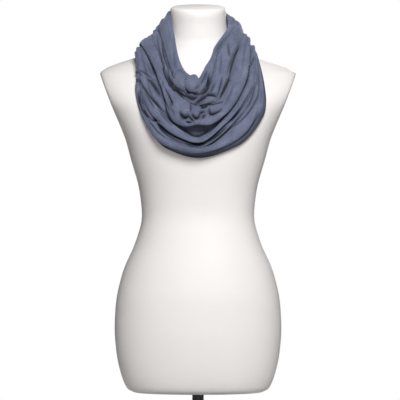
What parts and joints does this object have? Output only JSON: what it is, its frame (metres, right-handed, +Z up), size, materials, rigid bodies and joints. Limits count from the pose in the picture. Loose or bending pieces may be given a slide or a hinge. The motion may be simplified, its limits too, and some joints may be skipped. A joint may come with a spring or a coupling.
{
  "type": "infinity scarf on a limbless dress form",
  "caption": "Soft jersey infinity scarf, ruched at its gathered seam and wound double round the neck of a white limbless dress form on a round base.",
  "frame": {"origin": "middle of the base plate's underside, on the pole's axis", "axes": "+Z up along the pole; the form's chest faces -Y; +X is towards the form's left arm"},
  "size_m": [0.392, 0.35, 0.9807],
  "materials": {
    "scarf_jersey": "heathered blue-grey jersey",
    "form_shell": "satin off-white shell",
    "stand_steel": "satin black"
  },
  "bodies": {
    "root": {"upper_winding": "scarf_jersey", "lower_winding": "scarf_jersey", "display_form": "form_shell", "pole": "stand_steel", "base_plate": "stand_steel"}
  },
  "joints": []
}
